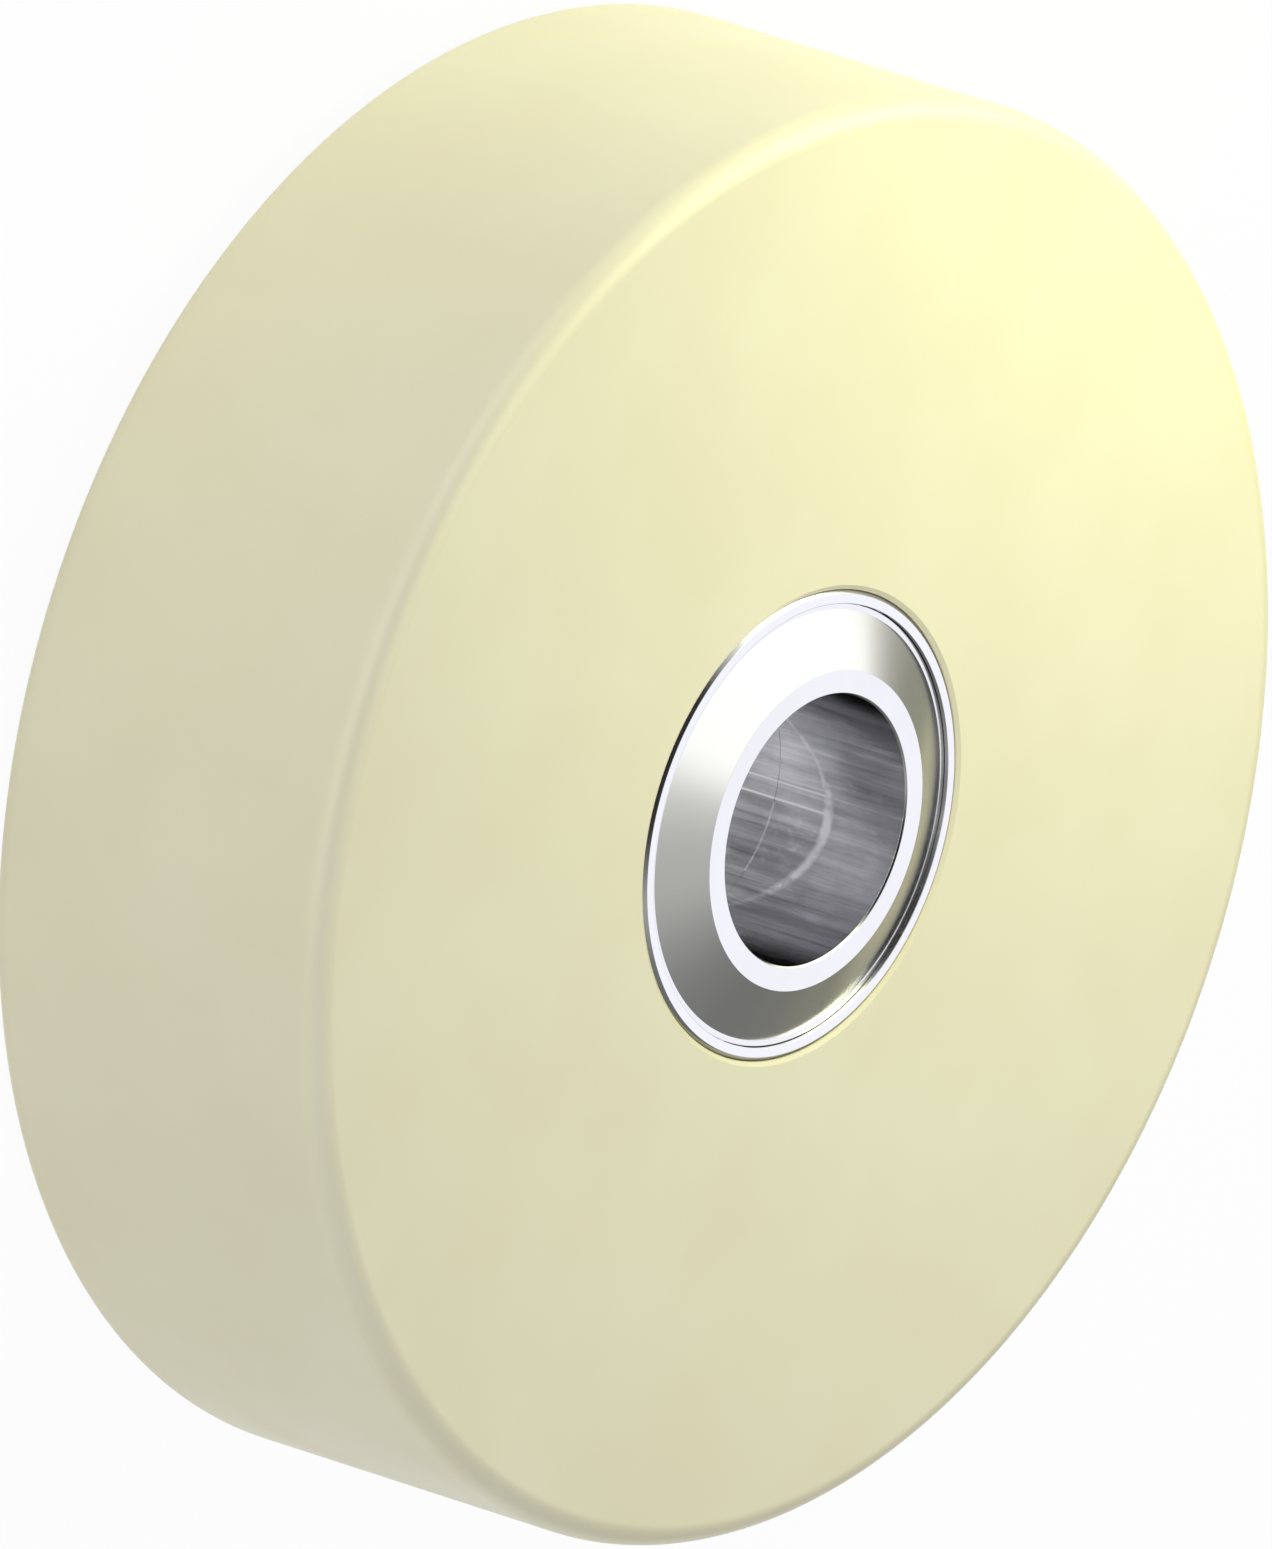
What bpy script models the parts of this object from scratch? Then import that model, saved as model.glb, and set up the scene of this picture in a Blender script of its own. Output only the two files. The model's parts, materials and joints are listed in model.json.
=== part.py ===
"""Heavy duty wheel: a solid cast nylon wheel that runs on two sealed ball bearings.

The wheel axis is +Z and the origin is the middle of the wheel, so the wheel lies on the end
face of its back bush. The front and back halves of the hub are the same pieces, turned over.
Every length is in metres.
"""

import math

import bmesh
import bpy
from mathutils import Matrix, Vector

MM = 0.001

# Nylon wheel
WHEEL_DIAMETER = 400.0 * MM
NYLON_WIDTH = 115.0 * MM
CORNER_RADIUS = 7.0 * MM
MOUTH_CHAMFER = 1.1 * MM
BEARING_ABUTMENT = 4.5 * MM

# Flanged bushes, and the spacer between the inner rings
AXLE_BORE_DIAMETER = 75.0 * MM
BORE_CHAMFER = 0.5 * MM
BUSH_WALL = 5.0 * MM
BUSH_FACE_WIDTH = 6.8 * MM
HUB_PROUD = 5.0 * MM
FLANGE_LAND = 1.2 * MM
FLANGE_EDGE = 0.85 * MM
SPIGOT_REACH = 16.8 * MM
SPIGOT_CHAMFER = 1.0 * MM
SPACER_WALL = 6.0 * MM

# Ball bearing at each end: with this axle bore it is the 85 x 130 x 22 mm size
BEARING_RECESS = 0.2 * MM
BEARING_CHAMFER = 1.1 * MM
BALL_DIAMETER = 14.3 * MM
BALL_COUNT = 13
RACE_WALL = 3.6 * MM
GROOVE_DEPTH = 3.4 * MM
GROOVE_LAND = 0.4 * MM
SEAL_SEAT_WALL = 3.8 * MM

# Seals
SEAL_THICKNESS = 1.1 * MM
SEAL_RECESS = 1.4 * MM
SEAL_BEAD_WIDTH = 2.8 * MM
SEAL_BEAD_HEIGHT = 1.4 * MM
SEAL_STEP = 1.0 * MM

# Snap cage
CAGE_FLOOR = 0.75 * MM
HORN_HEIGHT = 2.8 * MM
HORN_THICKNESS = 2.4 * MM
NOTCH_DEPTH = 5.0 * MM

# Clearances
FIT_GAP = 0.3 * MM
BALL_GROOVE_GAP = 0.5 * MM
BALL_POCKET_GAP = 0.25 * MM
CAGE_SIDE_GAP = 1.2 * MM
CAGE_SEAL_GAP = 0.35 * MM
FLANGE_SEAL_GAP = 0.4 * MM
FLANGE_SIDE_GAP = 0.6 * MM
CUT_OVERRUN = 1.0 * MM

# Facets
WHEEL_SEGMENTS = 72
RING_SEGMENTS = 36
CORNER_STEPS = 4
GROOVE_STEPS = 4
POCKET_SEGMENTS = 16
CAGE_SEGMENTS = 2 * BALL_COUNT
SHARP_ANGLE = math.radians(30)
MERGE_DISTANCE = 0.01 * MM

# Radii from the axle outwards
AXLE_BORE_RADIUS = AXLE_BORE_DIAMETER / 2
BEARING_BORE_RADIUS = AXLE_BORE_RADIUS + BUSH_WALL
BALL_RADIUS = BALL_DIAMETER / 2
GROOVE_RADIUS = BALL_RADIUS + BALL_GROOVE_GAP
SHOULDER_OFFSET = GROOVE_RADIUS - GROOVE_DEPTH
PITCH_RADIUS = BEARING_BORE_RADIUS + RACE_WALL + GROOVE_RADIUS
INNER_SHOULDER_RADIUS = PITCH_RADIUS - SHOULDER_OFFSET
OUTER_SHOULDER_RADIUS = PITCH_RADIUS + SHOULDER_OFFSET
BEARING_RADIUS = PITCH_RADIUS + GROOVE_RADIUS + RACE_WALL
SEAL_SEAT_RADIUS = BEARING_RADIUS - SEAL_SEAT_WALL

# Half thicknesses of the bearing, measured from the middle of its balls
POCKET_RADIUS = BALL_RADIUS + BALL_POCKET_GAP
CAGE_FLOOR_Z = POCKET_RADIUS + CAGE_FLOOR
SEAL_BOTTOM_Z = CAGE_FLOOR_Z + CAGE_SEAL_GAP
SEAL_TOP_Z = SEAL_BOTTOM_Z + SEAL_THICKNESS
HALF_BEARING = SEAL_TOP_Z + SEAL_RECESS
SEAL_SEAT_Z = math.sqrt(GROOVE_RADIUS**2 - SHOULDER_OFFSET**2) + GROOVE_LAND
BEAD_TOP_Z = SEAL_SEAT_Z + FIT_GAP + SEAL_BEAD_HEIGHT

# Heights above the middle of the wheel
HALF_NYLON = NYLON_WIDTH / 2
HUB_FACE_Z = HALF_NYLON + HUB_PROUD
BEARING_FACE_Z = HALF_NYLON - BEARING_RECESS
BEARING_CENTRE_Z = BEARING_FACE_Z - HALF_BEARING
BEARING_BACK_Z = BEARING_CENTRE_Z - HALF_BEARING
SPIGOT_END_Z = BEARING_BACK_Z - SPIGOT_REACH

NYLON = ("cast_nylon", (0.84, 0.80, 0.62), 0.45, 0.0)
RING_STEEL = ("bearing_steel", (0.78, 0.78, 0.80), 0.18, 1.0)
BUSH_STEEL = ("turned_steel", (0.80, 0.80, 0.82), 0.22, 1.0)
SEAL_RUBBER = ("nitrile_rubber", (0.03, 0.03, 0.035), 0.6, 0.0)
CAGE_NYLON = ("moulded_cage_nylon", (0.75, 0.70, 0.55), 0.5, 0.0)


def clear_scene():
    """Remove every object that the scene holds."""
    for obj in list(bpy.data.objects):
        bpy.data.objects.remove(obj, do_unlink=True)


def make_collection(name):
    """Add a collection to the scene."""
    collection = bpy.data.collections.new(name)
    bpy.context.scene.collection.children.link(collection)
    return collection


def make_material(piece, finish):
    """Give one piece its own Principled material."""
    name, colour, roughness, metallic = finish
    material = bpy.data.materials.new(f"{piece}_{name}")
    material.use_nodes = True
    shader = material.node_tree.nodes["Principled BSDF"]
    shader.inputs["Base Color"].default_value = (*colour, 1.0)
    shader.inputs["Roughness"].default_value = roughness
    shader.inputs["Metallic"].default_value = metallic
    return material


def make_sharp_edge_nodes():
    """Node group that shades a turned piece smooth and keeps its corners crisp."""
    group = bpy.data.node_groups.new("smooth_with_sharp_corners", "GeometryNodeTree")
    group.interface.new_socket("Geometry", in_out="INPUT", socket_type="NodeSocketGeometry")
    group.interface.new_socket("Geometry", in_out="OUTPUT", socket_type="NodeSocketGeometry")
    source = group.nodes.new("NodeGroupInput")
    result = group.nodes.new("NodeGroupOutput")
    angle = group.nodes.new("GeometryNodeInputMeshEdgeAngle")
    corner = group.nodes.new("FunctionNodeCompare")
    corner.operation = "GREATER_THAN"
    corner.inputs["B"].default_value = SHARP_ANGLE
    faces = group.nodes.new("GeometryNodeSetShadeSmooth")
    faces.domain = "FACE"
    edges = group.nodes.new("GeometryNodeSetShadeSmooth")
    edges.domain = "EDGE"
    edges.inputs["Shade Smooth"].default_value = False
    group.links.new(source.outputs["Geometry"], faces.inputs["Geometry"])
    group.links.new(faces.outputs["Geometry"], edges.inputs["Geometry"])
    group.links.new(angle.outputs["Unsigned Angle"], corner.inputs["A"])
    group.links.new(corner.outputs["Result"], edges.inputs["Selection"])
    group.links.new(edges.outputs["Geometry"], result.inputs["Geometry"])
    return group


def make_axis(name, carrier, height, turned_over, collection):
    """Empty on the wheel axis that carries one group of pieces."""
    axis = bpy.data.objects.new(name, None)
    axis.parent = carrier
    axis.location = (0.0, 0.0, height)
    axis.rotation_euler = (math.pi if turned_over else 0.0, 0.0, 0.0)
    axis.empty_display_size = HUB_FACE_Z
    collection.objects.link(axis)
    return axis


def add_piece(name, mesh, finish, axis, collection):
    """Link a mesh as a piece that hangs from an axis."""
    piece = bpy.data.objects.new(name, mesh)
    piece.parent = axis
    piece.data.materials.append(make_material(name, finish))
    collection.objects.link(piece)
    return piece


def add_sharp_edges(piece, sharp_edges):
    """Finish a piece's shading."""
    shading = piece.modifiers.new("shading", "NODES")
    shading.node_group = sharp_edges


def profile_mesh(name, points):
    """Closed outline in the XZ plane, clockwise seen with +X right and +Z up."""
    mesh = bpy.data.meshes.new(name)
    vertices = [(radius, 0.0, height) for radius, height in points]
    edges = [(i, (i + 1) % len(points)) for i in range(len(points))]
    mesh.from_pydata(vertices, edges, [])
    return mesh


def turn(name, points, segments, finish, axis, collection):
    """Turn a closed outline round the wheel axis."""
    piece = add_piece(name, profile_mesh(name, points), finish, axis, collection)
    screw = piece.modifiers.new("turned", "SCREW")
    screw.axis = "Z"
    screw.angle = 2 * math.pi
    screw.steps = segments
    screw.render_steps = segments
    screw.use_merge_vertices = True
    screw.merge_threshold = MERGE_DISTANCE
    screw.use_smooth_shade = True
    return piece


def arc(centre, radius, start, end, steps):
    """Points on an arc in the XZ plane; angles are in degrees from +X."""
    angles = [math.radians(start + (end - start) * i / steps) for i in range(steps + 1)]
    return [(centre[0] + radius * math.cos(a), centre[1] + radius * math.sin(a)) for a in angles]


def below(points):
    """The same outline points reflected in the mid-plane, in the order that continues it."""
    return [(radius, -height) for radius, height in reversed(points)]


def make_wheel_body(axis, collection):
    """Solid nylon wheel with round tread corners and a stepped bore for the bearings."""
    seat = BEARING_RADIUS + FIT_GAP
    shoulder_z = BEARING_BACK_Z - FIT_GAP
    corner = (WHEEL_DIAMETER / 2 - CORNER_RADIUS, HALF_NYLON - CORNER_RADIUS)
    rim = arc(corner, CORNER_RADIUS, 90, 0, CORNER_STEPS)
    bore = [
        (BEARING_RADIUS - BEARING_ABUTMENT, shoulder_z),
        (seat, shoulder_z),
        (seat, HALF_NYLON - MOUTH_CHAMFER),
        (seat + MOUTH_CHAMFER, HALF_NYLON),
    ]
    points = rim + below(rim) + below(bore) + bore
    return turn("wheel_body", points, WHEEL_SEGMENTS, NYLON, axis, collection)


def groove_arc(middle):
    """Ball groove, from the edge that the arc meets first to the other; middle is its angle."""
    reach = math.degrees(math.acos(SHOULDER_OFFSET / GROOVE_RADIUS))
    return arc((PITCH_RADIUS, 0.0), GROOVE_RADIUS, middle - reach, middle + reach, GROOVE_STEPS)


def make_outer_ring(end, axis, collection):
    """Outer ring with a ball groove and a seat for each seal."""
    face = [
        (OUTER_SHOULDER_RADIUS, SEAL_SEAT_Z),
        (SEAL_SEAT_RADIUS, SEAL_SEAT_Z),
        (SEAL_SEAT_RADIUS, HALF_BEARING),
        (BEARING_RADIUS - BEARING_CHAMFER, HALF_BEARING),
        (BEARING_RADIUS, HALF_BEARING - BEARING_CHAMFER),
    ]
    points = face + below(face) + groove_arc(0)
    return turn(f"outer_ring_{end}", points, RING_SEGMENTS, RING_STEEL, axis, collection)


def make_inner_ring(end, axis, collection):
    """Inner ring with a ball groove and plain lands that the seal lips run on."""
    face = [
        (BEARING_BORE_RADIUS, HALF_BEARING - BEARING_CHAMFER),
        (BEARING_BORE_RADIUS + BEARING_CHAMFER, HALF_BEARING),
        (INNER_SHOULDER_RADIUS, HALF_BEARING),
    ]
    points = face + groove_arc(180) + below(face)
    return turn(f"inner_ring_{end}", points, RING_SEGMENTS, RING_STEEL, axis, collection)


def make_seal(name, turned_over, axis, collection):
    """Dished seal: its bead sits in the outer ring and its lip meets the inner ring."""
    lip = INNER_SHOULDER_RADIUS + FIT_GAP
    edge = SEAL_SEAT_RADIUS - FIT_GAP
    bead = edge - SEAL_BEAD_WIDTH
    bead_bottom_z = SEAL_SEAT_Z + FIT_GAP
    wall = SEAL_THICKNESS / 2
    points = [
        (lip, SEAL_TOP_Z),
        (bead - SEAL_STEP + wall, SEAL_TOP_Z),
        (bead + wall, BEAD_TOP_Z),
        (edge, BEAD_TOP_Z),
        (edge, bead_bottom_z),
        (bead, bead_bottom_z),
        (bead - SEAL_STEP, SEAL_BOTTOM_Z),
        (lip, SEAL_BOTTOM_Z),
    ]
    seal = turn(name, points, RING_SEGMENTS, SEAL_RUBBER, axis, collection)
    seal.rotation_euler = (math.pi if turned_over else 0.0, 0.0, 0.0)
    return seal


def ball_angles():
    """Angle of each ball round the pitch circle."""
    return [2 * math.pi * i / BALL_COUNT for i in range(BALL_COUNT)]


def make_ball_mesh():
    """Steel ball, shared by all the balls of one bearing."""
    form = bmesh.new()
    bmesh.ops.create_icosphere(form, subdivisions=2, radius=BALL_RADIUS)
    mesh = bpy.data.meshes.new("ball")
    form.to_mesh(mesh)
    form.free()
    mesh.shade_smooth()
    return mesh


def make_balls(end, axis, collection):
    """One object for each ball, evenly round the pitch circle."""
    mesh = make_ball_mesh()
    mesh.materials.append(make_material(f"ball_{end}", RING_STEEL))
    for number, angle in enumerate(ball_angles(), start=1):
        ball = bpy.data.objects.new(f"ball_{end}_{number:02d}", mesh)
        ball.location = (PITCH_RADIUS * math.cos(angle), PITCH_RADIUS * math.sin(angle), 0.0)
        ball.rotation_euler = (0.0, 0.0, angle)
        ball.parent = axis
        collection.objects.link(ball)


def make_cage_cutter(end, axis, cutters):
    """Radial pockets for the balls, and a notch between each two pairs of horns."""
    length = 2 * (SHOULDER_OFFSET + CUT_OVERRUN)
    pitch = 2 * math.pi * PITCH_RADIUS / BALL_COUNT
    mouth = math.sqrt(POCKET_RADIUS**2 - HORN_HEIGHT**2)
    notch = Vector((length, pitch - 2 * (mouth + HORN_THICKNESS), NOTCH_DEPTH + CUT_OVERRUN))
    notch_z = HORN_HEIGHT + CUT_OVERRUN - notch.z / 2
    outwards = Matrix.Rotation(math.pi / 2, 4, "Y")
    form = bmesh.new()
    for angle in ball_angles():
        place = Matrix.Rotation(angle, 4, "Z") @ Matrix.Translation((PITCH_RADIUS, 0.0, 0.0))
        bmesh.ops.create_cone(
            form,
            cap_ends=True,
            segments=POCKET_SEGMENTS,
            radius1=POCKET_RADIUS,
            radius2=POCKET_RADIUS,
            depth=length,
            matrix=place @ outwards,
        )
        between = Matrix.Rotation(angle + math.pi / BALL_COUNT, 4, "Z")
        box = between @ Matrix.Translation((PITCH_RADIUS, 0.0, notch_z)) @ Matrix.Diagonal((*notch, 1.0))
        bmesh.ops.create_cube(form, size=1.0, matrix=box)
    mesh = bpy.data.meshes.new(f"cage_cutter_{end}")
    form.to_mesh(mesh)
    form.free()
    cutter = bpy.data.objects.new(f"cage_cutter_{end}", mesh)
    cutter.parent = axis
    cutter.hide_render = True
    cutter.display_type = "WIRE"
    cutters.objects.link(cutter)
    return cutter


def make_cage(end, axis, collection, cutters):
    """Moulded crown cage: a ring whose horns reach past the middle of each ball and hold it."""
    inner = INNER_SHOULDER_RADIUS + CAGE_SIDE_GAP
    outer = OUTER_SHOULDER_RADIUS - CAGE_SIDE_GAP
    points = [(inner, HORN_HEIGHT), (outer, HORN_HEIGHT), (outer, -CAGE_FLOOR_Z), (inner, -CAGE_FLOOR_Z)]
    cage = turn(f"cage_{end}", points, CAGE_SEGMENTS, CAGE_NYLON, axis, collection)
    pockets = cage.modifiers.new("pockets", "BOOLEAN")
    pockets.operation = "DIFFERENCE"
    pockets.solver = "EXACT"
    pockets.object = make_cage_cutter(end, axis, cutters)
    return cage


def make_bush(end, axis, collection):
    """Bush with a conical flange, a flat land round the cone, and a spigot that fills the bearing."""
    spigot = BEARING_BORE_RADIUS - FIT_GAP
    face = AXLE_BORE_RADIUS + BUSH_FACE_WIDTH
    flange = SEAL_SEAT_RADIUS - FLANGE_SIDE_GAP
    lip_z = BEARING_CENTRE_Z + BEAD_TOP_Z + FLANGE_SEAL_GAP
    foot_z = lip_z + FLANGE_EDGE
    seat_z = BEARING_FACE_Z + FIT_GAP
    foot = flange - FLANGE_LAND
    slope = (HUB_FACE_Z - foot_z) / (foot - face)
    relief = foot - (seat_z - lip_z) / slope
    points = [
        (AXLE_BORE_RADIUS + BORE_CHAMFER, HUB_FACE_Z),
        (face, HUB_FACE_Z),
        (foot, foot_z),
        (flange, foot_z),
        (flange, lip_z),
        (relief, seat_z),
        (spigot, seat_z),
        (spigot, SPIGOT_END_Z + SPIGOT_CHAMFER),
        (spigot - SPIGOT_CHAMFER, SPIGOT_END_Z),
        (AXLE_BORE_RADIUS, SPIGOT_END_Z),
        (AXLE_BORE_RADIUS, HUB_FACE_Z - BORE_CHAMFER),
    ]
    return turn(f"bush_{end}", points, RING_SEGMENTS, BUSH_STEEL, axis, collection)


def make_spacer_tube(axis, collection):
    """Tube that keeps the inner rings apart, counterbored over the ends of both spigots."""
    end_z = BEARING_BACK_Z - FIT_GAP
    shoulder_z = SPIGOT_END_Z - FIT_GAP
    half = [
        (AXLE_BORE_RADIUS, shoulder_z),
        (BEARING_BORE_RADIUS, shoulder_z),
        (BEARING_BORE_RADIUS, end_z),
        (BEARING_BORE_RADIUS + SPACER_WALL, end_z),
    ]
    points = half + below(half)
    return turn("spacer_tube", points, RING_SEGMENTS, BUSH_STEEL, axis, collection)


def make_end(end, direction, hub_axis, wheel_axis, collection, cutters):
    """One end of the hub: its bush and its sealed ball bearing. Direction is 1 or -1 along the axis."""
    turned_over = direction < 0
    height = direction * BEARING_CENTRE_Z
    bush_axis = make_axis(f"{end}_bush_axis", hub_axis, 0.0, turned_over, collection)
    inner_axis = make_axis(f"{end}_inner_ring_axis", hub_axis, height, turned_over, collection)
    outer_axis = make_axis(f"{end}_outer_ring_axis", wheel_axis, height, turned_over, collection)
    cage_axis = make_axis(f"{end}_cage_axis", hub_axis, height, turned_over, collection)
    make_bush(end, bush_axis, collection)
    make_inner_ring(end, inner_axis, collection)
    make_outer_ring(end, outer_axis, collection)
    make_seal(f"seal_outer_{end}", False, outer_axis, collection)
    make_seal(f"seal_inner_{end}", True, outer_axis, collection)
    make_cage(end, cage_axis, collection, cutters)
    make_balls(end, cage_axis, collection)


def main():
    """Build the wheel."""
    clear_scene()
    collection = make_collection("heavy_duty_wheel")
    cutters = make_collection("cutters")
    hub_axis = make_axis("hub_axis", None, 0.0, False, collection)
    wheel_axis = make_axis("wheel_axis", None, 0.0, False, collection)
    make_wheel_body(wheel_axis, collection)
    make_spacer_tube(hub_axis, collection)
    make_end("front", 1, hub_axis, wheel_axis, collection, cutters)
    make_end("back", -1, hub_axis, wheel_axis, collection, cutters)
    sharp_edges = make_sharp_edge_nodes()
    for piece in collection.objects:
        if piece.modifiers:
            add_sharp_edges(piece, sharp_edges)


main()
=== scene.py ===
"""Heavy duty wheel: a solid cast nylon wheel on two sealed ball bearings, with flanged steel bushes.

Laid out as a Blender add-on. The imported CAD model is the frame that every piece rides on.
The wheel axis is +Z, the origin is the middle of the wheel, and lengths are in metres.
"""

import json
import math

import bmesh
import bpy
import numpy as np
from bpy.props import FloatProperty, FloatVectorProperty, PointerProperty
from mathutils import Matrix, Vector

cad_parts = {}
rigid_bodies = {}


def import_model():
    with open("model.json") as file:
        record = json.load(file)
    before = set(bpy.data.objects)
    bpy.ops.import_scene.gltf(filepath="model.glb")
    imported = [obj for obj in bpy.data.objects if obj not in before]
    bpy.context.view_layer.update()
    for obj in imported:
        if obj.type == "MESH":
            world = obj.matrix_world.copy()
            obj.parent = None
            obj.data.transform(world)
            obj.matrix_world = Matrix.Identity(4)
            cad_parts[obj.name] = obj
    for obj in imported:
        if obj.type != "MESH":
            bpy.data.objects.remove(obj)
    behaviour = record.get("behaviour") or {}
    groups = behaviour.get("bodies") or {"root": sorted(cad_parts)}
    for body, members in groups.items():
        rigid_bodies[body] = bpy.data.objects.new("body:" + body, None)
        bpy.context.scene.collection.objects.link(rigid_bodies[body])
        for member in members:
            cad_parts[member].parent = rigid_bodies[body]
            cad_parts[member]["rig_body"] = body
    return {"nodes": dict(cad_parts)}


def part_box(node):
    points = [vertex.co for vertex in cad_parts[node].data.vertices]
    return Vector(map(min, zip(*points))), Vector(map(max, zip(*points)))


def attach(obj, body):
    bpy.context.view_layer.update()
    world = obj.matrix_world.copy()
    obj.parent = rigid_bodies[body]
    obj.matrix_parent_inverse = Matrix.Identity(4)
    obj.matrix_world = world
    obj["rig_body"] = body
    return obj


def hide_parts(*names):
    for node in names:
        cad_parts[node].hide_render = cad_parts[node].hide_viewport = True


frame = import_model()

bl_info = {
    "name": "Heavy duty wheel",
    "version": (1, 0, 0),
    "blender": (4, 5, 0),
    "location": "3D View > Sidebar > Wheel",
    "description": "Cast nylon wheel with ball bearings and flanged steel bushes",
    "category": "Object",
}

MM = 0.001
ENDS = (("front", 1.0), ("back", -1.0))
BALLS = sorted(name for name in frame["nodes"] if name.startswith("ball_"))

# Points round the axis on each turned piece, and along and round a ball.
WHEEL_COLUMNS = 360
HUB_COLUMNS = 256
SEAL_COLUMNS = 192
BALL_ROWS, BALL_COLUMNS = 17, 32

# Steps along a ball groove and round each corner of the nylon, and the angle in degrees past which
# an edge stays sharp.
TRACK_STEPS = 24
CORNER_STEPS = 16
SHARP_ANGLE = 40

# In millimetres: the short flat kept at each end of a rounded corner's arc, and the distance under
# which two points are merged.
CORNER_HOLD = 0.05
MERGE_DISTANCE = 0.001

# Edge radii in millimetres, in the order of each outline's points. The nylon's follow its tread
# corner, whose radius is one of its sizes.
NYLON_EDGES = [0.25, 0.25, 0.2, 0.4]
BUSH_EDGES = [0.12, 0.12, 0.25, 0.05, 0.05, 0.05, 0.3, 0.3, 0.2, 0.2, 0.05]
SPACER_EDGES = [0.4, 0.3, 0.2, 0.05]
RING_EDGES = [0.1, 0.1, 0.15, 0.2, 0.2, 0.2]
SEAL_EDGES = [0.25, 0.3, 0.3, 0.4, 0.4, 0.3, 0.3, 0.25]

# More sizes in millimetres: the chamfer on a bush's inner end, the short flat beside a ball groove,
# the slopes on the seal's face and back, and how far past a bore its finish reaches.
SPIGOT_CHAMFER = 1.0
GROOVE_FLAT = 0.1
SEAL_FACE_IN, SEAL_FACE_OUT, SEAL_BACK_IN = 0.45, 0.55, 1.0
BORE_MARGIN = 0.02

# Lathe marks as drawn, from crest to crest, in millimetres.
NYLON_FEED = 1.6
STEEL_FEED = 0.8

# Marks in the axle bore, in millimetres: the slanted plane of the painted highlight arc, the painted
# highlight line along the axle and its twin, the painted highlight on the joint line, the two patches
# painted lighter as reflected light, and the darker patch.
ARC_SLOPE, ARC_HEIGHT = 1.489, -18.2
AXIAL_GLINT, AXIAL_GLINT_HALF_WIDTH = -5.0, 0.3
TWIN, TWIN_HALF_WIDTH = -9.6, 0.25
JOINT, JOINT_HALF_WIDTH = 18.45, 0.25
JOINT_MIDDLE, JOINT_HALF_LENGTH = 6.0, 10.0
PAINTED_GLOW_INSIDE = (-19.0, 32.0, 22.0)
PAINTED_GLOW_MOUTH = (6.0, 37.0, 56.0)
DARK_PATCH = (13.0, 35.0, 20.0)

# Lamps: place and side in metres, and radiance.
LAMP_TARGET = (0.0, 0.0, 0.06)
KEY_PLACE, KEY_SIDE, KEY_RADIANCE = (-0.405, 0.085, 0.325), 0.33, 4.86
BACK_PLACE, BACK_SIDE, BACK_RADIANCE = (0.0, 1.03, 0.83), 0.60, 1.466

# Floor: half its side and the ring in which the paint gives way to white, in metres, and the share
# of white outside that ring.
FLOOR_REACH = 3.0
PAINT_END, WHITE_START = 0.15, 0.19
WHITE_SHARE = 0.95

# Room that metal sees: its bright direction, the brightness from the dark side to the bright one,
# and the middle of the far screen.
BRIGHT_DIRECTION = (-0.884, -0.468, 0.0)
BRIGHTNESS = (
    (0.0, 0.115), (0.12, 0.144), (0.165, 0.19), (0.22, 0.27),
    (0.3, 0.385), (0.39, 0.4), (0.474, 0.56), (0.51, 1.0),
)
SCREEN_DIRECTION = (-0.15, 0.98, 0.1)

# Dark patch in that room: an oval that faces the camera, squeezed flat along the view line.
PATCH_SHIFT = (-0.15, 0.0, 0.0)
PATCH_TILT = 36.87
PATCH_SIZE = (1.0, 0.6, 1000.0)

# Room that lights everything else.
SOFT_LEAN = (-0.719, -0.776, 0.040)
SOFT_SIDE = (1.579, 0.321, -0.230)
SOFT_FALL = (0.201, 0.212, 1.256)
SOFT_LEVEL = 0.719

# Camera: angles in degrees, lens and sensor in millimetres, the picture's height in pixels, the
# millimetres of wheel to a pixel, the aim in pixels right of the wheel's middle and above it, and a
# factor that trims the distance.
ELEVATION, ROLL = 36.7815, 17.44
LENS, SENSOR = 1380.0, 36.0
PICTURE_HEIGHT = 1549
PIXEL = 0.26717
AIM_RIGHT, AIM_UP = -1.586, 0.099
DISTANCE_TRIM = 1.00295
CLIP = (0.1, 100.0)


def from_hex(code):
    """Linear RGB of an sRGB hex colour."""
    srgb = np.array([int(code[i:i + 2], 16) for i in (1, 3, 5)]) / 255
    return tuple(np.where(srgb <= 0.04045, srgb / 12.92, ((srgb + 0.055) / 1.055) ** 2.4).tolist())


def length(name, description, millimetres):
    """A length that the sidebar shows in the scene's unit."""
    return FloatProperty(
        name=name, description=description, default=millimetres * MM, unit="LENGTH", precision=5
    )


def colour(name, description, code):
    """A colour that starts at an sRGB hex value."""
    return FloatVectorProperty(
        name=name, description=description, default=from_hex(code), subtype="COLOR", size=3, min=0.0, max=1.0
    )


def node_span(node, axis):
    """Largest coordinate of a CAD node along an axis, in millimetres."""
    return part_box(node)[1][axis] / MM


class NylonWheelSizes(bpy.types.PropertyGroup):
    """Sizes of the cast nylon wheel."""

    radius: length("Wheel radius", "Half the diameter of the tread", node_span("wheel_body", 0))
    half_width: length("Half width", "Half the width of the nylon", node_span("wheel_body", 2))
    corner: length("Tread corner radius", "Radius between the tread and a side", 7.0)
    mouth: length("Mouth chamfer width", "Chamfer where a bearing goes in, along the radius", 1.3)
    mouth_depth: length("Mouth chamfer depth", "The same chamfer, along the axis", 0.8)
    seat: length("Bearing seat radius", "Radius of the bore that holds a bearing", 65.1)
    shoulder: length("Shoulder height", "Where the bearing seat ends, above the middle", 35.0)
    waist: length("Waist radius", "Radius of the bore between the bearings", 60.5)


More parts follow.
